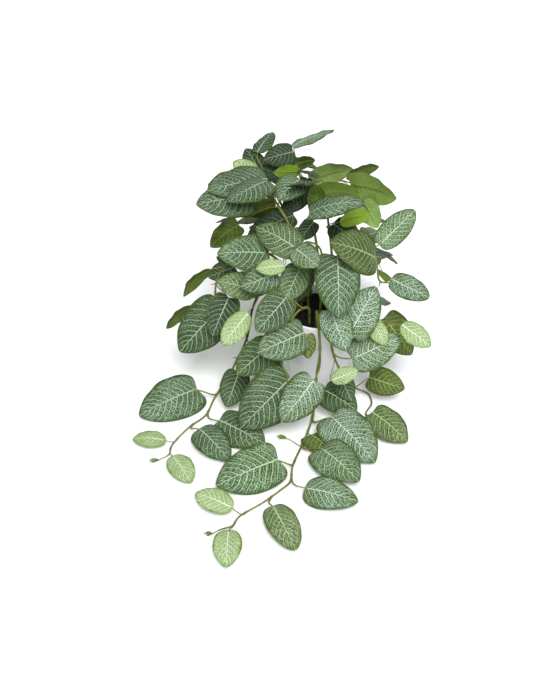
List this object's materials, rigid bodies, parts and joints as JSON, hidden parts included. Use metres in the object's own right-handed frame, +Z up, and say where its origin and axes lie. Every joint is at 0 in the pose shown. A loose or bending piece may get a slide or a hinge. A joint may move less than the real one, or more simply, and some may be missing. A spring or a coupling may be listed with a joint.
{
  "type": "potted nerve plant",
  "caption": "Trailing nerve plant in a plain tapered pot, with net-veined leaves in a crown over the pot and on vines that lie along the surface in front.",
  "frame": {"origin": "middle of the pot's flat base", "axes": "+Z up, -Y towards the front, where the vines trail, +X to the right seen from the front"},
  "size_m": [0.3402, 0.4855, 0.2693],
  "materials": {
    "pot_white": "satin white",
    "soil_dark": "dark loose potting mix of peat and bark",
    "foliage_green": "satin leaf, dark green between a pale net of veins, with olive stems and undersides"
  },
  "bodies": {
    "root": {"pot": "pot_white", "soil": "soil_dark", "stem_crown_left": "foliage_green", "stem_crown_back_left": "foliage_green", "stem_crown_back": "foliage_green", "stem_crown_right": "foliage_green", "stem_crown_front": "foliage_green", "stem_right_upper": "foliage_green", "stem_right_low": "foliage_green", "stem_right_front": "foliage_green", "stem_centre_trailing": "foliage_green", "stem_left_trailing": "foliage_green", "stem_front_left": "foliage_green", "stem_left_low": "foliage_green", "stem_back_left": "foliage_green", "stem_back_right": "foliage_green"}
  },
  "joints": []
}
